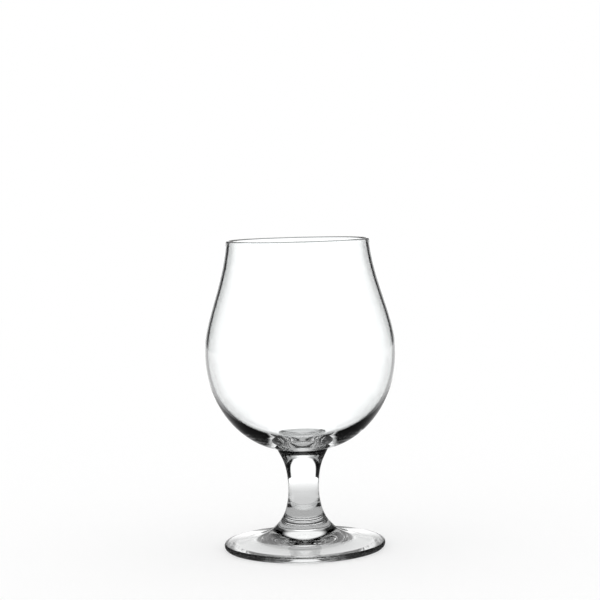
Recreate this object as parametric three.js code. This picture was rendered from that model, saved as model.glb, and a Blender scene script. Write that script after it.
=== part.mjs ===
// A stemmed tulip glass: a blown bowl, a solid stem with a slim waist, and a round foot.
// The three pieces are fused at two flat faces, bowl on stem and stem on foot.
// Millimetres, +Z up, origin at the centre of the ring that the foot stands on.

import * as THREE from 'three';

// Foot
const FOOT_DIAMETER = 75.2;
const FOOT_HEIGHT = 13; // table to the fused face that carries the stem
const FOOT_EDGE_HEIGHT = 2; // table to the widest line of the edge
const FOOT_EDGE_UPPER_ROUND = 1.1;
const FOOT_EDGE_LOWER_ROUND = 1.9; // how far the edge curls in under its widest line
const FOOT_TOP_SLOPE = THREE.MathUtils.degToRad(8.5);
const FOOT_FLARE_DIAMETER = 50; // where the flare of the stem has run out into the sloping top
const FOOT_RING_WIDTH = 4.2; // flat ring that rests on the table
const FOOT_HOLLOW_DEPTH = 3.7; // dome under the foot, inside the ring

// Stem
const STEM_LENGTH = 33.9; // between the two fused faces
const STEM_WAIST_HEIGHT = 13.7; // slimmest line above the lower fused face
const STEM_WAIST_DIAMETER = 14.3;
const STEM_BASE_DIAMETER = 22.2;
const STEM_BASE_FLARE = THREE.MathUtils.degToRad(37.2); // lean of the side at the foot
const STEM_TOP_DIAMETER = 24.2;
const STEM_TOP_FLARE = THREE.MathUtils.degToRad(26.5); // lean of the side at the bowl

// Bowl
const BOWL_HEIGHT = 97.4; // fused face to the top of the rim
const BOWL_BELLY_DIAMETER = 89;
const BOWL_BELLY_HEIGHT = 45.6; // widest line above the fused face
const BOWL_BELLY_WALL = 1.6;
const BOWL_BASE_THICKNESS = 2.6; // glass under the lowest point of the inside
const BOWL_BASE_ANGLE = THREE.MathUtils.degToRad(10.5); // rise of the underside at the stem
const BOWL_RIM_DIAMETER = 66.6;
const BOWL_RIM_WALL = 1.65;
const BOWL_RIM_LEAN = THREE.MathUtils.degToRad(5.7); // inward lean of the wall at the rim

// How far each curve follows its end tangents, as a share of the span it covers
const WAIST_DOWN_PULL = 0.22;
const STEM_BASE_PULL = 0.28;
const WAIST_UP_PULL = 0.6;
const STEM_TOP_PULL = 0.26;
const BOWL_BASE_PULL = 0.52;
const BELLY_DOWN_PULL = 0.54;
const BELLY_UP_PULL = 0.31;
const RIM_PULL = 0.42;
const INSIDE_BELLY_PULL = 0.59;
const INSIDE_BASE_PULL = 0.63;

// Facets
const SEGMENTS = 64;
const STEPS_LONG = 11;
const STEPS_SHORT = 7;
const STEPS_ROUND = 4;

// Heights of the fused faces and of the main lines, above the table
const stemBase = FOOT_HEIGHT;
const stemWaist = stemBase + STEM_WAIST_HEIGHT;
const stemTop = stemBase + STEM_LENGTH;
const belly = stemTop + BOWL_BELLY_HEIGHT;
const insideBottom = stemTop + BOWL_BASE_THICKNESS;
const rimRound = BOWL_RIM_WALL / 2;
const rimCentre = new THREE.Vector2(BOWL_RIM_DIAMETER / 2 - rimRound, stemTop + BOWL_HEIGHT - rimRound);

// A profile point: distance from the axis and height above the table.
const at = (radius, height) => new THREE.Vector2(radius, height);

// A point on a circle or ellipse about `centre`, at `angle` up from the outward direction.
const around = (centre, radius, angle, rise = radius) =>
  at(centre.x + radius * Math.cos(angle), centre.y + rise * Math.sin(angle));

const bezier = (start, startHandle, endHandle, end, steps) =>
  new THREE.CubicBezierCurve(start, startHandle, endHandle, end).getPoints(steps);

// Quarter of an ellipse, or any other arc of it, from one angle to another.
function arc(centre, radius, rise, from, to, steps) {
  const angles = Array.from({ length: steps + 1 }, (_, i) => from + ((to - from) * i) / steps);
  return angles.map((angle) => around(centre, radius, angle, rise));
}

// Where the line from `a` along `alongA` meets the line from `b` along `alongB`.
function meeting(a, alongA, b, alongB) {
  const gap = b.clone().sub(a);
  return a.clone().addScaledVector(alongA, gap.cross(alongB) / alongA.cross(alongB));
}

// One closed outline from stretches that follow each other, turned about the Z axis.
// The outline starts and ends on the axis and runs outwards, then up, then back.
function revolve(...stretches) {
  const outline = stretches.flatMap((points, i) => (i === 0 ? points : points.slice(1)));
  return new THREE.LatheGeometry(outline, SEGMENTS).rotateX(Math.PI / 2);
}

// The foot: dome underneath, resting ring, rounded edge, sloping top and the flare up to the stem.
function footGeometry() {
  const radius = FOOT_DIAMETER / 2;
  const ringOuter = radius - FOOT_EDGE_LOWER_ROUND;
  const ringInner = ringOuter - FOOT_RING_WIDTH;
  const lowerRound = at(ringOuter, FOOT_EDGE_HEIGHT);
  const upperRound = at(radius - FOOT_EDGE_UPPER_ROUND, FOOT_EDGE_HEIGHT);
  const topEdge = at(upperRound.x, upperRound.y + FOOT_EDGE_UPPER_ROUND);
  const alongTop = at(-Math.cos(FOOT_TOP_SLOPE), Math.sin(FOOT_TOP_SLOPE));
  const flareEnd = topEdge.clone().addScaledVector(
    alongTop, (topEdge.x - FOOT_FLARE_DIAMETER / 2) / Math.cos(FOOT_TOP_SLOPE));
  const flareStart = at(STEM_BASE_DIAMETER / 2, stemBase);
  const alongStem = at(Math.sin(STEM_BASE_FLARE), -Math.cos(STEM_BASE_FLARE));
  const flareCorner = meeting(flareStart, alongStem, topEdge, alongTop);
  const dome = new THREE.QuadraticBezierCurve(
    at(0, FOOT_HOLLOW_DEPTH), at(ringInner / 2, FOOT_HOLLOW_DEPTH), at(ringInner, 0));
  const flare = new THREE.QuadraticBezierCurve(flareEnd, flareCorner, flareStart);
  return revolve(
    dome.getPoints(STEPS_ROUND),
    [at(ringInner, 0), at(ringOuter, 0)],
    arc(lowerRound, FOOT_EDGE_LOWER_ROUND, FOOT_EDGE_HEIGHT, -Math.PI / 2, 0, STEPS_ROUND),
    arc(upperRound, FOOT_EDGE_UPPER_ROUND, FOOT_EDGE_UPPER_ROUND, 0, Math.PI / 2, STEPS_ROUND),
    [topEdge, flareEnd],
    flare.getPoints(STEPS_SHORT),
    [flareStart, at(0, stemBase)],
  );
}

// The stem: solid glass, slimmest at the waist, with a flare to the foot and one to the bowl.
function stemGeometry() {
  const baseRim = at(STEM_BASE_DIAMETER / 2, stemBase);
  const waist = at(STEM_WAIST_DIAMETER / 2, stemWaist);
  const topRim = at(STEM_TOP_DIAMETER / 2, stemTop);
  const down = STEM_WAIST_HEIGHT;
  const up = stemTop - stemWaist;
  const basePull = STEM_BASE_PULL * down;
  const topPull = STEM_TOP_PULL * up;
  const lower = bezier(
    baseRim,
    at(baseRim.x - basePull * Math.tan(STEM_BASE_FLARE), stemBase + basePull),
    at(waist.x, stemWaist - WAIST_DOWN_PULL * down),
    waist, STEPS_SHORT);
  const upper = bezier(
    waist,
    at(waist.x, stemWaist + WAIST_UP_PULL * up),
    at(topRim.x - topPull * Math.tan(STEM_TOP_FLARE), stemTop - topPull),
    topRim, STEPS_SHORT);
  return revolve([at(0, stemBase), baseRim], lower, upper, [topRim, at(0, stemTop)]);
}

// The bowl: full round belly, drawn in to the rim, with a thin wall that thickens towards its base.
function bowlGeometry() {
  const baseRim = at(STEM_TOP_DIAMETER / 2, stemTop);
  const bellyOut = at(BOWL_BELLY_DIAMETER / 2, belly);
  const bellyIn = at(bellyOut.x - BOWL_BELLY_WALL, belly);
  const rimOut = around(rimCentre, rimRound, BOWL_RIM_LEAN);
  const rimIn = around(rimCentre, rimRound, BOWL_RIM_LEAN + Math.PI);
  const rise = rimCentre.y - belly;
  const rimPull = at(RIM_PULL * rise * Math.tan(BOWL_RIM_LEAN), -RIM_PULL * rise);
  const basePull = BOWL_BASE_PULL * (bellyOut.x - baseRim.x);
  const lowerOut = bezier(
    baseRim,
    at(baseRim.x + basePull, stemTop + basePull * Math.tan(BOWL_BASE_ANGLE)),
    at(bellyOut.x, belly - BELLY_DOWN_PULL * BOWL_BELLY_HEIGHT),
    bellyOut, STEPS_LONG);
  const upperOut = bezier(
    bellyOut,
    at(bellyOut.x, belly + BELLY_UP_PULL * rise),
    rimOut.clone().add(rimPull),
    rimOut, STEPS_LONG);
  const upperIn = bezier(
    rimIn,
    rimIn.clone().add(rimPull),
    at(bellyIn.x, belly + BELLY_UP_PULL * rise),
    bellyIn, STEPS_LONG);
  const lowerIn = bezier(
    bellyIn,
    at(bellyIn.x, belly - INSIDE_BELLY_PULL * (belly - insideBottom)),
    at(INSIDE_BASE_PULL * bellyIn.x, insideBottom),
    at(0, insideBottom), STEPS_LONG);
  return revolve(
    [at(0, stemTop), baseRim],
    lowerOut,
    upperOut,
    arc(rimCentre, rimRound, rimRound, BOWL_RIM_LEAN, Math.PI / 2, STEPS_ROUND),
    arc(rimCentre, rimRound, rimRound, Math.PI / 2, Math.PI + BOWL_RIM_LEAN, STEPS_ROUND),
    upperIn,
    lowerIn,
  );
}

const CLEAR_GLASS = 0xf4f7f7;

// Clear colourless glass with a bright polished skin.
const clearGlass = () => new THREE.MeshStandardMaterial({
  color: CLEAR_GLASS, roughness: 0.03, metalness: 0, transparent: true, opacity: 0.35,
});

function piece(name, geometry) {
  const mesh = new THREE.Mesh(geometry, clearGlass());
  mesh.name = name;
  return mesh;
}

const glass = new THREE.Group();
glass.add(
  piece('foot', footGeometry()),
  piece('stem', stemGeometry()),
  piece('bowl', bowlGeometry()),
);

export default glass;
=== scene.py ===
"""A clear stemmed tulip glass on a pale table, built from its sizes and lit as in a small studio."""

import math

import bmesh
import bpy
from bpy.props import FloatProperty, FloatVectorProperty, IntProperty, PointerProperty, StringProperty
from mathutils import Matrix, Vector


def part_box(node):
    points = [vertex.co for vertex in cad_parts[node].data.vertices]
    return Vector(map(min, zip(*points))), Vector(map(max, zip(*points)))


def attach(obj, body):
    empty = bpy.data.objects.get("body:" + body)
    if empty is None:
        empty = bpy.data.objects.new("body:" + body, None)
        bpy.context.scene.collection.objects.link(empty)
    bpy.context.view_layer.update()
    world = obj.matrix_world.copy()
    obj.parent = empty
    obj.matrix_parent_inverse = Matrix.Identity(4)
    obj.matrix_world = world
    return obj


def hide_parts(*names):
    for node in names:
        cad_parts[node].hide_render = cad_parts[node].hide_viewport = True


bl_info = {
    "name": "Stemmed tulip glass",
    "version": (1, 0, 0),
    "blender": (4, 5, 0),
    "location": "3D View > Sidebar > Tulip glass",
    "description": "Builds a clear stemmed glass from its sizes and sets it in a small studio",
    "category": "Object",
}

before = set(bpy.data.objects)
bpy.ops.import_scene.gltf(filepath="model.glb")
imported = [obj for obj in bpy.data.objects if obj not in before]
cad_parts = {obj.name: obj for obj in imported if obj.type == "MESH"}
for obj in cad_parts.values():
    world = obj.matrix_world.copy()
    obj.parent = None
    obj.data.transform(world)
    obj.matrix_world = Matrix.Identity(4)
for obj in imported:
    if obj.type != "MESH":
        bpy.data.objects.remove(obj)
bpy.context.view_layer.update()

FOOT_LOW, FOOT_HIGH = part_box("foot")
STEM_LOW, STEM_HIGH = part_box("stem")
BOWL_LOW, BOWL_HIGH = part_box("bowl")

MM = 0.001
QUARTER_TURN = math.pi / 2
CUBIC_THIRD = 2 / 3  # share of the way to its corner where a quadratic bend has its cubic handles
ROUND_PULL = 0.5523  # the same share for a quarter of a circle or ellipse


def length(name, description, default):
    """A size in metres that the user can change."""
    return FloatProperty(name=name, description=description, default=default, min=0.0, precision=4,
                         subtype="DISTANCE", unit="LENGTH")


def slope(name, description, degrees):
    """An angle that the user can change."""
    return FloatProperty(name=name, description=description, default=math.radians(degrees),
                         subtype="ANGLE", unit="ROTATION")


def share(name, description, default):
    """A share between nothing and one that the user can change."""
    return FloatProperty(name=name, description=description, default=default, min=0.0, max=1.0,
                         subtype="FACTOR")


# How far a curve follows its end tangent, as a share of the span that it covers
pull = share


class FootSizes(bpy.types.PropertyGroup):
    """Sizes of the round foot."""

    diameter: length("Diameter", "Across the widest line of the edge", FOOT_HIGH.x - FOOT_LOW.x)
    edge_height: length("Edge height", "Table to the widest line of the edge", 2.0 * MM)
    edge_upper_round: length("Upper round", "Radius of the edge above its widest line", 1.1 * MM)
    edge_lower_round: length("Lower round", "How far the edge curls in under its widest line", 1.9 * MM)
    top_slope: slope("Top slope", "Fall of the top towards the edge", 8.5)
    flare_diameter: length("Flare diameter", "Where the flare has run out into the sloping top", 50 * MM)
    ring_width: length("Ring width", "Flat ring that rests on the table", 4.2 * MM)
    hollow_depth: length("Hollow depth", "Dome under the foot", 3.7 * MM)


class StemSizes(bpy.types.PropertyGroup):
    """Sizes of the solid stem."""

    waist_height: length("Waist height", "Slimmest line above the face on the foot", 13.7 * MM)
    waist_diameter: length("Waist diameter", "Across the slimmest line", 14.3 * MM)
    base_diameter: length("Base diameter", "Across the fused face on the foot", 22.2 * MM)
    base_flare: slope("Base flare", "Lean of the side at the foot", 37.2)
    top_diameter: length("Top diameter", "Across the fused face under the bowl", STEM_HIGH.x - STEM_LOW.x)
    top_flare: slope("Top flare", "Lean of the side at the bowl", 26.5)
    waist_down_pull: pull("Waist pull, down", "Straightness below the waist", 0.22)
    base_pull: pull("Base pull", "Straightness above the foot", 0.28)
    waist_up_pull: pull("Waist pull, up", "Straightness above the waist", 0.6)
    top_pull: pull("Top pull", "Straightness below the bowl", 0.26)


class BowlSizes(bpy.types.PropertyGroup):
    """Sizes of the blown bowl."""

    belly_diameter: length("Belly diameter", "Across the widest line", BOWL_HIGH.x - BOWL_LOW.x)
    belly_height: length("Belly height", "Widest line above the fused face", 45.6 * MM)
    belly_wall: length("Belly wall", "Thickness of the glass at the widest line", 1.6 * MM)
    base_thickness: length("Base thickness", "Glass under the lowest point of the inside", 2.6 * MM)
    base_angle: slope("Base angle", "Rise of the underside at the stem", 10.5)
    rim_diameter: length("Rim diameter", "Across the outside of the rim", 66.6 * MM)
    rim_wall: length("Rim wall", "Thickness of the glass at the rim", 1.65 * MM)
    rim_lean: slope("Rim lean", "Inward lean of the wall at the rim", 5.7)
    base_pull: pull("Base pull", "Straightness of the underside from the stem", 0.52)
    belly_down_pull: pull("Belly pull, down", "Straightness below the belly", 0.54)
    belly_up_pull: pull("Belly pull, up", "Straightness above the belly", 0.31)
    rim_pull: pull("Rim pull", "Straightness under the rim", 0.42)
    inside_belly_pull: pull("Inside belly pull", "Straightness of the inside below the belly", 0.59)
    inside_base_pull: pull("Inside base pull", "Flatness of the inside at its lowest point", 0.63)


class GlassFinish(bpy.types.PropertyGroup):
    """Look and fineness of the glass."""

    colour: StringProperty(name="Colour", description="Colour of the glass, as sRGB hex",
                           default="FDFEFE")
    # Painted shade: a grey tint along the top of the rim stands in for the dark line that the rim shows in
    # the glass
    rim_painted_shade_colour: StringProperty(name="Rim colour", description="Colour of the rim's line, as sRGB hex",
                               default="7C8080")
    rim_painted_shade_reach: length("Rim line", "How far that line reaches down from the top of the rim", 0.8 * MM)
    refraction: FloatProperty(name="Refractive index", description="About 1.52 for soda-lime glass",
                              default=1.52)
    segments: IntProperty(name="Segments", description="Faces around each piece", default=192, min=8)
    steps: IntProperty(name="Steps", description="Faces along each stretch of an outline",
                       default=24, min=2)


class StudioSettings(bpy.types.PropertyGroup):
    """Camera, table and light."""

    camera_distance: length("Camera distance", "Along the table from the glass to the lens", 817.3 * MM)
    camera_height: length("Camera height", "Lens above the table", 170.8 * MM)
    aim: FloatVectorProperty(name="Aim", description="Point at the middle of the picture", size=3,
                             default=(0.52 * MM, 0.0, 116.0 * MM), subtype="XYZ", unit="LENGTH")
    camera_roll: slope("Camera roll", "Clockwise turn of the camera about its line of sight", 1.45)
    focal_length: FloatProperty(name="Focal length", description="Lens, in millimetres", default=105.86)
    table_radius: length("Table radius", "Pale round table top", 1500 * MM)
    table_colour: StringProperty(name="Table colour", description="Colour of the table, as sRGB hex",
                                 default="D2D2D2")
    # Painted light and shade of the table in the glass: it glows at these levels rather than being lit
    under_level: share("Table under foot", "Brightness of the table under the foot, in the glass", 0.45)
    near_level: share("Table near foot", "Brightness of the table near the foot, through the glass", 0.67)
    side_level: share("Table at the sides", "Brightness of the far table to the left and right", 0.72)
    side_start: slope("Side start", "Bearing from straight behind at which the table turns greyer", 54)
    side_end: slope("Side end", "Bearing from straight behind at which it is greyest", 60)
    ring_mirrored: share("Mirrored ring", "Brightness of the table under the ring, in reflections", 0.75)
    near_mirrored: share("Mirrored near table", "Brightness of the near table, in reflections", 0.06)
    far_mirrored: share("Mirrored far table", "Brightness of the far table, in reflections", 0.45)
    sweep_start: length("Sweep start", "Distance at which the table starts to lighten", 60 * MM)
    sweep_end: length("Sweep end", "Distance at which the table is lightest", 450 * MM)
    bowl_sweep_end: length("Bowl sweep end", "The same distance through both walls of the bowl", 110 * MM)
    mirrored_start: length("Mirrored start", "Distance at which reflections start to lighten", 70 * MM)
    mirrored_end: length("Mirrored end", "Distance at which reflections are lightest", 220 * MM)
    ground_fade_start: slope("Ground fade start", "Height at which the grey ground starts to fade", -6)
    ground_fade_end: slope("Ground fade end", "Height at which the room is dark", 2)
    ground_level: share("Ground level", "Brightness of the ground between the screens", 0.07)
    white_in_glass: FloatProperty(name="White in the glass", default=1.4,
                                  description="Strength that stays white after the losses at the skin")


class TulipGlass(bpy.types.PropertyGroup):
    """Everything that a user would change."""

    foot: PointerProperty(type=FootSizes)
    stem: PointerProperty(type=StemSizes)
    bowl: PointerProperty(type=BowlSizes)
    finish: PointerProperty(type=GlassFinish)
    studio: PointerProperty(type=StudioSettings)


def linear(hex_colour):
    """An sRGB hex colour as linear RGBA."""
    channels = [int(hex_colour[i:i + 2], 16) / 255 for i in (0, 2, 4)]
    curved = [c / 12.92 if c <= 0.04045 else ((c + 0.055) / 1.055) ** 2.4 for c in channels]
    return (*curved, 1.0)


def add_node(tree, kind, links=None, **settings):
    """Adds a node with its settings, then its links: a value, a socket, or a node for its first output."""
    node = tree.nodes.new(kind)
    for name, value in settings.items():
        setattr(node, name, value)
    for socket, source in (links or {}).items():
        if isinstance(source, bpy.types.Node):
            tree.links.new(source.outputs[0], node.inputs[socket])
        elif isinstance(source, bpy.types.NodeSocket):
            tree.links.new(source, node.inputs[socket])
        else:
            node.inputs[socket].default_value = source
    return node


class Outline:
    """Half of a turned piece's section, drawn in the XZ plane from the axis outwards and back to it."""

    def __init__(self, radius, height):
        self.knots = [Vector((radius, 0.0, height))]
        self.handles = []

    def curve_to(self, first_handle, second_handle, end):
        """A cubic stretch to `end`."""
        self.handles.append((first_handle, second_handle))
        self.knots.append(end)

    def line_to(self, end):
        """A straight stretch to `end`."""
        start = self.knots[-1]
        self.curve_to(start.lerp(end, 1 / 3), start.lerp(end, CUBIC_THIRD), end)

    def bend_to(self, corner, end, reach=CUBIC_THIRD):
        """A bend that leaves and arrives along the lines through `corner`."""
        self.curve_to(self.knots[-1].lerp(corner, reach), end.lerp(corner, reach), end)

    def arc_to(self, centre, to_angle):
        """An arc about `centre` to an angle counted up from the outward direction."""
        arm = self.knots[-1] - centre
        from_angle = math.atan2(arm.z, arm.x)
        reach = 4 / 3 * math.tan((to_angle - from_angle) / 4)
        end_arm = Vector((math.cos(to_angle), 0.0, math.sin(to_angle))) * arm.length
        turn = Matrix.Rotation(-QUARTER_TURN, 3, "Y")
        self.curve_to(centre + arm + turn @ arm * reach, centre + end_arm - turn @ end_arm * reach,
                      centre + end_arm)

    def to_curve(self, name, steps):
        """The outline as a Bezier curve datablock."""
        curve = bpy.data.curves.new(name, "CURVE")
        curve.dimensions = "3D"
        spline = curve.splines.new("BEZIER")
        spline.resolution_u = steps
        spline.bezier_points.add(len(self.knots) - 1)
        for point, knot in zip(spline.bezier_points, self.knots):
            point.handle_left_type = point.handle_right_type = "FREE"
            point.co = point.handle_left = point.handle_right = knot
        for i, (first, second) in enumerate(self.handles):
            spline.bezier_points[i].handle_right = first
            spline.bezier_points[i + 1].handle_left = second
        return curve


def at(radius, height):
    """A point of an outline: distance from the axis and height above the table."""
    return Vector((radius, 0.0, height))


def meeting(a, along_a, b, along_b):
    """Where the line from `a` along `along_a` meets the line from `b` along `along_b`."""
    gap = b - a
    across = along_a.x * along_b.z - along_a.z * along_b.x
    return a + along_a * ((gap.x * along_b.z - gap.z * along_b.x) / across)


def foot_outline(foot, stem):
    """Dome underneath, resting ring, rounded edge, sloping top and the flare up to the stem."""
    radius = foot.diameter / 2
    ring_outer = radius - foot.edge_lower_round
    ring_inner = ring_outer - foot.ring_width
    widest = at(radius, foot.edge_height)
    top_edge = at(radius - foot.edge_upper_round, foot.edge_height + foot.edge_upper_round)
    along_top = at(-math.cos(foot.top_slope), math.sin(foot.top_slope))
    flare_run = (top_edge.x - foot.flare_diameter / 2) / math.cos(foot.top_slope)
    joint_edge = at(stem.base_diameter / 2, STEM_LOW.z)
    along_stem = at(math.sin(stem.base_flare), -math.cos(stem.base_flare))
    outline = Outline(0.0, foot.hollow_depth)
    outline.bend_to(at(ring_inner / 2, foot.hollow_depth), at(ring_inner, 0.0))
    outline.line_to(at(ring_outer, 0.0))
    outline.bend_to(at(radius, 0.0), widest, ROUND_PULL)
    outline.bend_to(at(radius, top_edge.z), top_edge, ROUND_PULL)
    outline.line_to(top_edge + along_top * flare_run)
    outline.bend_to(meeting(joint_edge, along_stem, top_edge, along_top), joint_edge)
    outline.line_to(at(0.0, STEM_LOW.z))
    return outline


def stem_outline(stem):
    """Fused face on the foot, flare, slim waist, flare and fused face under the bowl."""
    base, top = STEM_LOW.z, STEM_HIGH.z
    base_edge = at(stem.base_diameter / 2, base)
    waist = at(stem.waist_diameter / 2, base + stem.waist_height)
    top_edge = at(stem.top_diameter / 2, top)
    down = waist.z - base
    up = top - waist.z
    outline = Outline(0.0, base)
    outline.line_to(base_edge)
    outline.curve_to(base_edge + at(-math.tan(stem.base_flare), 1.0) * stem.base_pull * down,
                     waist - at(0.0, stem.waist_down_pull * down), waist)
    outline.curve_to(waist + at(0.0, stem.waist_up_pull * up),
                     top_edge - at(math.tan(stem.top_flare), 1.0) * stem.top_pull * up, top_edge)
    outline.line_to(at(0.0, top))
    return outline


def bowl_outline(bowl, stem):
    """Fused face, full round underside and belly, rounded rim, and the inside."""
    base, top = STEM_HIGH.z, BOWL_HIGH.z
    base_edge = at(stem.top_diameter / 2, base)
    belly_out = at(bowl.belly_diameter / 2, base + bowl.belly_height)
    belly_in = belly_out - at(bowl.belly_wall, 0.0)
    rim_round = bowl.rim_wall / 2
    rim_centre = at(bowl.rim_diameter / 2 - rim_round, top - rim_round)
    rim_arm = at(math.cos(bowl.rim_lean), math.sin(bowl.rim_lean)) * rim_round
    rim_out, rim_in = rim_centre + rim_arm, rim_centre - rim_arm
    rise = rim_centre.z - belly_out.z
    rim_handle = at(math.tan(bowl.rim_lean), -1.0) * bowl.rim_pull * rise
    belly_handle = at(0.0, bowl.belly_up_pull * rise)
    inside_bottom = at(0.0, base + bowl.base_thickness)
    inside_drop = belly_in.z - inside_bottom.z
    outline = Outline(0.0, base)
    outline.line_to(base_edge)
    outline.curve_to(
        base_edge + at(1.0, math.tan(bowl.base_angle)) * bowl.base_pull * (belly_out.x - base_edge.x),
        belly_out - at(0.0, bowl.belly_down_pull * bowl.belly_height), belly_out)
    outline.curve_to(belly_out + belly_handle, rim_out + rim_handle, rim_out)
    outline.arc_to(rim_centre, QUARTER_TURN)
    outline.arc_to(rim_centre, math.pi + bowl.rim_lean)
    outline.curve_to(rim_in + rim_handle, belly_in + belly_handle, belly_in)
    outline.curve_to(belly_in - at(0.0, bowl.inside_belly_pull * inside_drop),
                     inside_bottom + at(bowl.inside_base_pull * belly_in.x, 0.0), inside_bottom)
    return outline


TURNED_INPUTS = {
    "Segments": "NodeSocketInt",
    "Joint Below": "NodeSocketFloat",
    "Joint Above": "NodeSocketFloat",
    "Glass": "NodeSocketMaterial",
    "Fused Face": "NodeSocketMaterial",
}
SHARP_EDGE = math.radians(30)  # edges that fold more than this stay crisp
MERGE_DISTANCE = 0.0005 * MM  # closes the seam and the two ends on the axis
FLAT_NORMAL = 0.999  # how upright a face's normal is on a fused face
FACE_DEPTH = 0.01 * MM  # how near to its height a fused face's middle lies


def turned_glass_tree():
    """Geometry Nodes that turn an outline about Z and mark the fused faces."""
    tree = bpy.data.node_groups.new("Turned glass", "GeometryNodeTree")
    tree.interface.new_socket("Outline", in_out="INPUT", socket_type="NodeSocketGeometry")
    for name, kind in TURNED_INPUTS.items():
        tree.interface.new_socket(name, in_out="INPUT", socket_type=kind)
    tree.interface.new_socket("Piece", in_out="OUTPUT", socket_type="NodeSocketGeometry")
    given = tree.nodes.new("NodeGroupInput").outputs

    # A grid with one column for each segment and one row for each point of the outline
    line = add_node(tree, "GeometryNodeCurveToMesh", {"Curve": given["Outline"]})
    rows = add_node(tree, "GeometryNodeAttributeDomainSize", {"Geometry": line}).outputs["Point Count"]
    columns = add_node(tree, "ShaderNodeMath", {0: given["Segments"], 1: 1.0}, operation="ADD")
    grid = add_node(tree, "GeometryNodeMeshGrid", {"Vertices X": columns, "Vertices Y": rows})
    index = add_node(tree, "GeometryNodeInputIndex")
    row = add_node(tree, "ShaderNodeMath", {0: index, 1: rows}, operation="MODULO")
    ratio = add_node(tree, "ShaderNodeMath", {0: index, 1: rows}, operation="DIVIDE")
    column = add_node(tree, "ShaderNodeMath", {0: ratio}, operation="FLOOR")
    step = add_node(tree, "ShaderNodeMath", {0: math.tau, 1: given["Segments"]}, operation="DIVIDE")
    angle = add_node(tree, "ShaderNodeMath", {0: column, 1: step}, operation="MULTIPLY")

    # Each row goes to its point of the outline, and each column is turned to its angle
    place = add_node(tree, "GeometryNodeInputPosition")
    point = add_node(tree, "GeometryNodeSampleIndex", {"Geometry": line, "Value": place, "Index": row},
                     data_type="FLOAT_VECTOR", domain="POINT")
    turned = add_node(tree, "ShaderNodeVectorRotate", {"Vector": point.outputs["Value"], "Angle": angle},
                      rotation_type="Z_AXIS")
    shell = add_node(tree, "GeometryNodeSetPosition", {"Geometry": grid, "Position": turned})
    closed = add_node(tree, "GeometryNodeMergeByDistance", {
        "Geometry": shell, "Distance": MERGE_DISTANCE})

    # Smooth all over, apart from the edges of the fused faces
    smooth = add_node(tree, "GeometryNodeSetShadeSmooth", {
        "Geometry": closed, "Shade Smooth": True}, domain="FACE")
    fold = add_node(tree, "GeometryNodeInputMeshEdgeAngle").outputs["Unsigned Angle"]
    crisp = add_node(tree, "ShaderNodeMath", {0: fold, 1: SHARP_EDGE}, operation="GREATER_THAN")
    edged = add_node(tree, "GeometryNodeSetShadeSmooth", {
        "Geometry": smooth, "Selection": crisp, "Shade Smooth": False}, domain="EDGE")

    # Faces that lie flat at the height of a joint
    height = add_node(tree, "ShaderNodeSeparateXYZ", {0: place}).outputs["Z"]
    normal = add_node(tree, "GeometryNodeInputNormal")
    lean = add_node(tree, "ShaderNodeSeparateXYZ", {0: normal}).outputs["Z"]
    upright = add_node(tree, "ShaderNodeMath", {0: lean}, operation="ABSOLUTE")
    flat = add_node(tree, "ShaderNodeMath", {0: upright, 1: FLAT_NORMAL}, operation="GREATER_THAN")
    below, above = (
        add_node(tree, "ShaderNodeMath", {0: height, 1: given[joint], 2: FACE_DEPTH}, operation="COMPARE")
        for joint in ("Joint Below", "Joint Above"))
    level = add_node(tree, "ShaderNodeMath", {0: below, 1: above}, operation="MAXIMUM")
    fused = add_node(tree, "ShaderNodeMath", {0: flat, 1: level}, operation="MULTIPLY")

    real = add_node(tree, "GeometryNodeRealizeInstances", {"Geometry": edged})
    glass = add_node(tree, "GeometryNodeSetMaterial", {"Geometry": real, "Material": given["Glass"]})
    joined = add_node(tree, "GeometryNodeSetMaterial", {
        "Geometry": glass, "Selection": fused, "Material": given["Fused Face"]})
    add_node(tree, "NodeGroupOutput", {"Piece": joined})
    return tree


def turned_piece(name, outline, joint_below, joint_above, node, finish):
    """Turns an outline into a finished piece that stands for a CAD node."""
    curve = outline.to_curve(name + "_outline", finish.steps)
    drawing = bpy.data.objects.new(name + "_outline", curve)
    bpy.context.scene.collection.objects.link(drawing)
    turning = drawing.modifiers.new("Turned glass", "NODES")
    materials, groups = bpy.data.materials, bpy.data.node_groups
    turning.node_group = groups.get("Turned glass") or turned_glass_tree()
    values = {
        "Segments": finish.segments,
        "Joint Below": joint_below,
        "Joint Above": joint_above,
        "Glass": materials.get("blown_soda_lime_glass") or blown_soda_lime_glass(finish),
        "Fused Face": materials.get("fused_glass_face") or fused_glass_face(),
    }
    for socket in turning.node_group.interface.items_tree:
        if socket.name in values:
            turning[socket.identifier] = values[socket.name]
    evaluated = drawing.evaluated_get(bpy.context.evaluated_depsgraph_get())
    mesh = bpy.data.meshes.new_from_object(evaluated)
    drawing.modifiers.remove(turning)
    bpy.data.objects.remove(drawing)
    bpy.data.curves.remove(curve)
    if not mesh.polygons:
        raise RuntimeError(f"{name} came out empty")
    mesh.name = name
    piece = bpy.data.objects.new(name, mesh)
    bpy.context.scene.collection.objects.link(piece)
    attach(piece, "root")
    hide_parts(node)
    return piece


def new_material(name):
    """An empty node material."""
    material = bpy.data.materials.new(name)
    material.use_nodes = True
    material.node_tree.nodes.clear()
    return material


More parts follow.
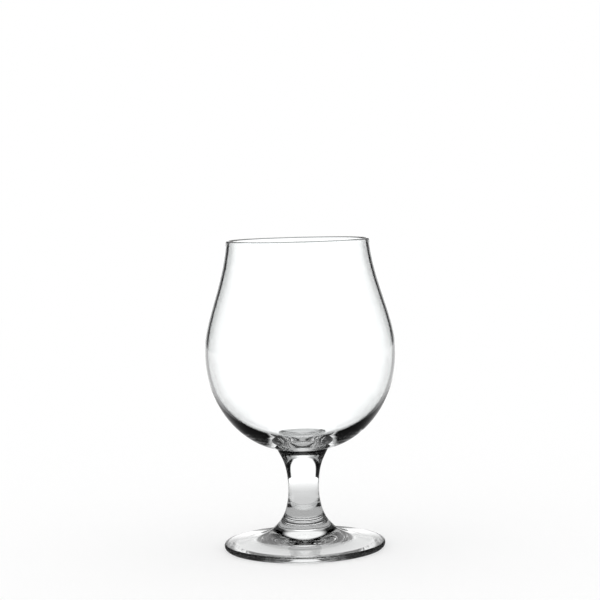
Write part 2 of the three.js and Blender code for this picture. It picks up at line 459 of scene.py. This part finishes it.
def blown_soda_lime_glass(finish):
    """Blown and fire-polished soda-lime glass: colourless, smooth, with crisp dark lines at its edges and
    a painted grey shade line at the rim.
    """
    material = new_material("blown_soda_lime_glass")
    tree = material.node_tree

    # The round of the rim shows as a fine grey line; here it is painted shade, drawn as a grey tint in the
    # glass's colour
    place = add_node(tree, "ShaderNodeTexCoord").outputs["Object"]
    height = add_node(tree, "ShaderNodeSeparateXYZ", {0: place}).outputs["Z"]
    line_start = BOWL_HIGH.z - finish.rim_painted_shade_reach
    rim = add_node(tree, "ShaderNodeMapRange", {
        "Value": height, "From Min": line_start, "From Max": line_start + finish.rim_painted_shade_reach / 2})
    colour = add_node(tree, "ShaderNodeMixRGB", {
        "Fac": rim, "Color1": linear(finish.colour), "Color2": linear(finish.rim_painted_shade_colour)})
    surface = add_node(tree, "ShaderNodeBsdfPrincipled", {
        "Base Color": colour, "Roughness": 0.0, "IOR": finish.refraction, "Transmission Weight": 1.0})
    add_node(tree, "ShaderNodeOutputMaterial", {"Surface": surface.outputs["BSDF"]})
    return material


def fused_glass_face():
    """Where hot glass has flowed together there is no surface left, so light goes straight on."""
    material = new_material("fused_glass_face")
    tree = material.node_tree
    clear = add_node(tree, "ShaderNodeBsdfTransparent")
    add_node(tree, "ShaderNodeOutputMaterial", {"Surface": clear.outputs["BSDF"]})
    return material


NO_JOINT = -1.0  # a height that no face has
GLASS_BOUNCES = 32  # enough for light to find its way out of the stem and the foot
MIRROR_BOUNCES = 16


class GLASS_OT_foot(bpy.types.Operator):
    """Build the round foot."""

    bl_idname = "glass.foot"
    bl_label = "Foot"

    def execute(self, context):
        glass = context.scene.tulip_glass
        outline = foot_outline(glass.foot, glass.stem)
        turned_piece("glass_foot", outline, NO_JOINT, STEM_LOW.z, "foot", glass.finish)
        return {"FINISHED"}


class GLASS_OT_stem(bpy.types.Operator):
    """Build the solid stem."""

    bl_idname = "glass.stem"
    bl_label = "Stem"

    def execute(self, context):
        glass = context.scene.tulip_glass
        outline = stem_outline(glass.stem)
        turned_piece("glass_stem", outline, STEM_LOW.z, STEM_HIGH.z, "stem", glass.finish)
        return {"FINISHED"}


class GLASS_OT_bowl(bpy.types.Operator):
    """Build the blown bowl."""

    bl_idname = "glass.bowl"
    bl_label = "Bowl"

    def execute(self, context):
        glass = context.scene.tulip_glass
        outline = bowl_outline(glass.bowl, glass.stem)
        turned_piece("glass_bowl", outline, STEM_HIGH.z, NO_JOINT, "bowl", glass.finish)
        return {"FINISHED"}


class GLASS_OT_studio(bpy.types.Operator):
    """Set up the table, the light and the camera."""

    bl_idname = "glass.studio"
    bl_label = "Studio"

    def execute(self, context):
        glass = context.scene.tulip_glass
        studio = glass.studio
        add_camera(studio)
        screens_tree()
        add_table(studio, glass.foot)
        add_light(studio, context.scene)
        context.scene.view_settings.view_transform = "Standard"
        cycles = context.scene.cycles
        cycles.max_bounces = GLASS_BOUNCES
        cycles.transmission_bounces = GLASS_BOUNCES
        cycles.transparent_max_bounces = GLASS_BOUNCES
        cycles.glossy_bounces = MIRROR_BOUNCES
        return {"FINISHED"}


def add_camera(studio):
    """A long lens in front of the glass, a little above its rim, rolled slightly."""
    camera = bpy.data.cameras.new("camera")
    camera.lens = studio.focal_length
    holder = bpy.data.objects.new("camera", camera)
    bpy.context.scene.collection.objects.link(holder)
    aim = Vector(studio.aim)
    place = Vector((aim.x, -studio.camera_distance, studio.camera_height))
    facing = (aim - place).to_track_quat("-Z", "Y").to_matrix().to_4x4()
    roll = Matrix.Rotation(-studio.camera_roll, 4, "Z")
    holder.matrix_world = Matrix.Translation(place) @ facing @ roll
    bpy.context.scene.camera = holder


TABLE_SIDES = 128
TABLE_DROP = 0.05 * MM  # keeps the table top just clear of the ring that rests on it
# Painted light and shade on the table: a light ring in reflections under the ring that the foot rests on,
# and a dim middle under the foot
RING_BLUR = 1.0 * MM  # soft edge, in reflections, of the ring that the foot rests on
UNDER_SHARE = 0.4  # share of the way out to that ring where the dim middle ends


def add_table(studio, foot):
    """A pale round table top that keeps the soft shadow of the glass."""
    mesh = bpy.data.meshes.new("table")
    shape = bmesh.new()
    bmesh.ops.create_circle(shape, cap_ends=True, radius=studio.table_radius, segments=TABLE_SIDES)
    shape.to_mesh(mesh)
    shape.free()
    table = bpy.data.objects.new("table", mesh)
    bpy.context.scene.collection.objects.link(table)
    table.location.z = -TABLE_DROP
    mesh.materials.append(white_table_painted_in_glass(studio, foot))


PALE_SHARE = 0.83  # share of the full level that is about white through both walls of the bowl
TWO_WALLS = 3.5  # light has crossed more surfaces than this after both walls of the bowl

# Each round white screen, in degrees: bearing clockwise from straight behind the glass, height above the
# horizon, radius of its even middle, and radius at which its soft edge has faded out. Then its share of
# the full level straight through the glass, and in the reflections inside the glass.
SCREENS = (
    (0, -5, 9, 20, 1.0, 1.0),
    (0, 0, 17, 26, 0.0, 0.38),
    (0, -5, 36, 41, PALE_SHARE, 0.0),
    (0, 32, 18, 30, 0.0, 0.72),
    (-90, -3, 6, 18, 1.0, 1.0),
    (180, -5, 36, 41, PALE_SHARE, 0.0),
)


def screens_tree():
    """Node group that says how white the screens are in a direction."""
    tree = bpy.data.node_groups.new("White screens", "ShaderNodeTree")
    tree.interface.new_socket("Towards", in_out="INPUT", socket_type="NodeSocketVector")
    tree.interface.new_socket("Level", in_out="OUTPUT", socket_type="NodeSocketFloat")
    towards = tree.nodes.new("NodeGroupInput").outputs["Towards"]
    path = add_node(tree, "ShaderNodeLightPath").outputs
    straight = add_node(tree, "ShaderNodeMath", {0: path["Glossy Depth"], 1: 1.0}, operation="LESS_THAN")

    # Through both thin walls of the bowl it is pale all round
    crossed = path["Transmission Depth"]
    walls = add_node(tree, "ShaderNodeMath", {0: crossed, 1: TWO_WALLS}, operation="GREATER_THAN")
    through = add_node(tree, "ShaderNodeMath", {0: straight, 1: walls}, operation="MULTIPLY")
    level = add_node(tree, "ShaderNodeMath", {0: through, 1: PALE_SHARE}, operation="MULTIPLY")
    for *angles, direct, mirrored in SCREENS:
        turn, rise, even, faded = (math.radians(angle) for angle in angles)
        middle = (math.sin(turn) * math.cos(rise), math.cos(turn) * math.cos(rise), math.sin(rise))
        near = add_node(tree, "ShaderNodeVectorMath", {0: towards, 1: middle}, operation="DOT_PRODUCT")
        apart = add_node(tree, "ShaderNodeMath", {0: near.outputs["Value"]}, operation="ARCCOSINE")
        full = add_node(tree, "ShaderNodeMix", {"Factor": straight, "A": mirrored, "B": direct})
        glow = add_node(tree, "ShaderNodeMapRange", {
            "Value": apart, "From Min": even, "From Max": faded, "To Min": full, "To Max": 0.0},
            interpolation_type="SMOOTHSTEP")
        level = add_node(tree, "ShaderNodeMath", {0: glow, 1: level}, operation="MAXIMUM")
    add_node(tree, "NodeGroupOutput", {"Level": level})
    return tree


def table_stops(studio, foot):
    """Distances from the axis and the table's painted brightness: through the glass, and in its
    reflections.
    """
    ring_outer = foot.diameter / 2 - foot.edge_lower_round
    ring_inner = ring_outer - foot.ring_width
    through = (
        (0.0, studio.under_level),
        (ring_inner * UNDER_SHARE, studio.under_level),
        (ring_inner, studio.near_level),
        (studio.sweep_start, studio.near_level),
        (studio.sweep_end, studio.white_in_glass),
    )
    mirrored = (
        (0.0, studio.under_level),
        (ring_inner - RING_BLUR, studio.under_level),
        (ring_inner, studio.ring_mirrored),
        (ring_outer, studio.ring_mirrored),
        (ring_outer + RING_BLUR, studio.near_mirrored),
        (studio.mirrored_start, studio.near_mirrored),
        (studio.mirrored_end, studio.far_mirrored),
    )
    return through, mirrored


def painted_table_in_glass(tree, path, studio, foot):
    """Painted light and shade of the table as the glass shows it, which glows at these levels: dim under
    the foot, lighter with the distance.
    """
    place = add_node(tree, "ShaderNodeTexCoord").outputs["Object"]
    distance = add_node(tree, "ShaderNodeVectorMath", {0: place}, operation="LENGTH").outputs["Value"]
    reach = add_node(tree, "ShaderNodeMath", {0: distance, 1: studio.sweep_end}, operation="DIVIDE")
    shades = []
    for stops in table_stops(studio, foot):
        shade = add_node(tree, "ShaderNodeValToRGB", {"Fac": reach})
        shade.color_ramp.interpolation = "EASE"
        marks = shade.color_ramp.elements
        marks.remove(marks[1])
        for radius, level in stops:
            mark = marks.new(radius / studio.sweep_end) if radius else marks[0]
            mark.color = (level, level, level, 1.0)
        shades.append(shade)
    direct, mirrored = shades

    # Painted shade: straight through the glass the far table is greyer to the left and right
    towards = add_node(tree, "ShaderNodeVectorMath", {0: place}, operation="NORMALIZE")
    sideways = add_node(tree, "ShaderNodeSeparateXYZ", {0: towards}).outputs["X"]
    aside = add_node(tree, "ShaderNodeMath", {0: sideways}, operation="ABSOLUTE")
    most = add_node(tree, "ShaderNodeMapRange", {
        "Value": aside, "From Min": math.sin(studio.side_start), "From Max": math.sin(studio.side_end),
        "To Min": studio.white_in_glass, "To Max": studio.side_level}, interpolation_type="SMOOTHSTEP")
    capped = add_node(tree, "ShaderNodeMath", {0: direct, 1: most}, operation="MINIMUM")

    # Painted light: through both thin walls of the bowl it soon turns white
    both = add_node(tree, "ShaderNodeMapRange", {
        "Value": distance, "From Min": studio.sweep_start, "From Max": studio.bowl_sweep_end,
        "To Min": studio.near_level, "To Max": studio.white_in_glass}, interpolation_type="SMOOTHSTEP")
    crossed = path["Transmission Depth"]
    walls = add_node(tree, "ShaderNodeMath", {0: crossed, 1: TWO_WALLS}, operation="GREATER_THAN")
    through = add_node(tree, "ShaderNodeMix", {"Factor": walls, "A": capped, "B": both})

    # Painted light: in reflections inside the glass it is white, far off, below the screens
    far = add_node(tree, "ShaderNodeMapRange", {
        "Value": distance, "From Min": studio.mirrored_start, "From Max": studio.sweep_end},
        interpolation_type="SMOOTHSTEP")
    screens = add_node(tree, "ShaderNodeGroup", {"Towards": towards},
                       node_tree=bpy.data.node_groups["White screens"])
    below = add_node(tree, "ShaderNodeMath", {0: far, 1: screens}, operation="MULTIPLY")
    inner = add_node(tree, "ShaderNodeMix", {"Factor": below, "A": mirrored, "B": studio.white_in_glass})

    straight = add_node(tree, "ShaderNodeMath", {0: path["Glossy Depth"], 1: 1.0}, operation="LESS_THAN")
    return add_node(tree, "ShaderNodeMix", {"Factor": straight, "A": inner, "B": through})


def white_table_painted_in_glass(studio, foot):
    """Matt white laminate, white for the eye; in the glass it glows with painted light and shade: white
    far off through the glass, grey in reflections.
    """
    material = new_material("white_table_painted_in_glass")
    tree = material.node_tree
    grey = linear(studio.table_colour)
    path = add_node(tree, "ShaderNodeLightPath").outputs

    # For the eye: pale grey that keeps the shadow, lifted to white
    matt = add_node(tree, "ShaderNodeBsdfDiffuse", {"Color": grey})
    lift = add_node(tree, "ShaderNodeMath", {
        0: path["Is Camera Ray"], 1: 1.0 - grey[0]}, operation="MULTIPLY")
    glow = add_node(tree, "ShaderNodeEmission", {"Strength": lift})
    plain = add_node(tree, "ShaderNodeAddShader", {0: matt, 1: glow})

    level = painted_table_in_glass(tree, path, studio, foot)
    # The table's painted light and shade, shown only in the glass as a glow
    seen = add_node(tree, "ShaderNodeEmission", {"Strength": level})
    in_glass = add_node(tree, "ShaderNodeMath", {
        0: path["Is Glossy Ray"], 1: path["Is Transmission Ray"]}, operation="MAXIMUM")
    surface = add_node(tree, "ShaderNodeMixShader", {0: in_glass, 1: plain, 2: seen})
    add_node(tree, "ShaderNodeOutputMaterial", {"Surface": surface})
    return material


def add_light(studio, scene):
    """White all round for the eye and the table; for the glass, round white screens in a dark room."""
    world = bpy.data.worlds.new("studio_light")
    world.use_nodes = True
    world.cycles.sampling_method = "NONE"  # the table sees an even white, so no bright spots are sought
    tree = world.node_tree
    tree.nodes.clear()
    towards = add_node(tree, "ShaderNodeTexCoord").outputs["Generated"]
    screens = add_node(tree, "ShaderNodeGroup", {"Towards": towards},
                       node_tree=bpy.data.node_groups["White screens"])
    part = add_node(tree, "ShaderNodeSeparateXYZ", {0: towards}).outputs
    height = add_node(tree, "ShaderNodeMath", {0: part["Z"]}, operation="ARCSINE")
    ground = add_node(tree, "ShaderNodeMapRange", {
        "Value": height, "From Min": studio.ground_fade_start, "From Max": studio.ground_fade_end,
        "To Min": studio.ground_level, "To Max": 0.0}, interpolation_type="SMOOTHSTEP")
    level = add_node(tree, "ShaderNodeMath", {0: screens, 1: ground}, operation="MAXIMUM")
    bright = add_node(tree, "ShaderNodeMath", {0: level, 1: studio.white_in_glass}, operation="MULTIPLY")

    # Only the eye finds the screens in the glass: what the glass sends on to the table is even white
    path = add_node(tree, "ShaderNodeLightPath").outputs
    in_glass = add_node(tree, "ShaderNodeMath", {
        0: path["Is Glossy Ray"], 1: path["Is Transmission Ray"]}, operation="MAXIMUM")
    by_eye = add_node(tree, "ShaderNodeMath", {0: path["Diffuse Depth"], 1: 1.0}, operation="LESS_THAN")
    seen = add_node(tree, "ShaderNodeMath", {0: in_glass, 1: by_eye}, operation="MULTIPLY")
    strength = add_node(tree, "ShaderNodeMix", {"Factor": seen, "A": 1.0, "B": bright})
    light = add_node(tree, "ShaderNodeBackground", {"Color": linear("FFFFFF"), "Strength": strength})
    add_node(tree, "ShaderNodeOutputWorld", {"Surface": light})
    scene.world = world


class GLASS_PT_panel(bpy.types.Panel):
    """Lists the glass's pieces and the studio."""

    bl_idname = "GLASS_PT_panel"
    bl_label = "Tulip glass"
    bl_space_type = "VIEW_3D"
    bl_region_type = "UI"
    bl_category = "Tulip glass"

    def draw(self, context):
        for operator in OPERATORS:
            self.layout.operator(operator.bl_idname)


OPERATORS = (GLASS_OT_foot, GLASS_OT_stem, GLASS_OT_bowl, GLASS_OT_studio)
SETTINGS = (FootSizes, StemSizes, BowlSizes, GlassFinish, StudioSettings, TulipGlass)
CLASSES = (*SETTINGS, *OPERATORS, GLASS_PT_panel)


def register():
    """Registers the settings, the operators and the panel."""
    for cls in CLASSES:
        bpy.utils.register_class(cls)
    bpy.types.Scene.tulip_glass = PointerProperty(type=TulipGlass)


def unregister():
    """Undoes what register has done."""
    del bpy.types.Scene.tulip_glass
    for cls in reversed(CLASSES):
        bpy.utils.unregister_class(cls)


def main():
    """Builds the glass and its studio."""
    register()
    bpy.ops.glass.foot()
    bpy.ops.glass.stem()
    bpy.ops.glass.bowl()
    bpy.ops.glass.studio()


if __name__ == "__main__":
    main()
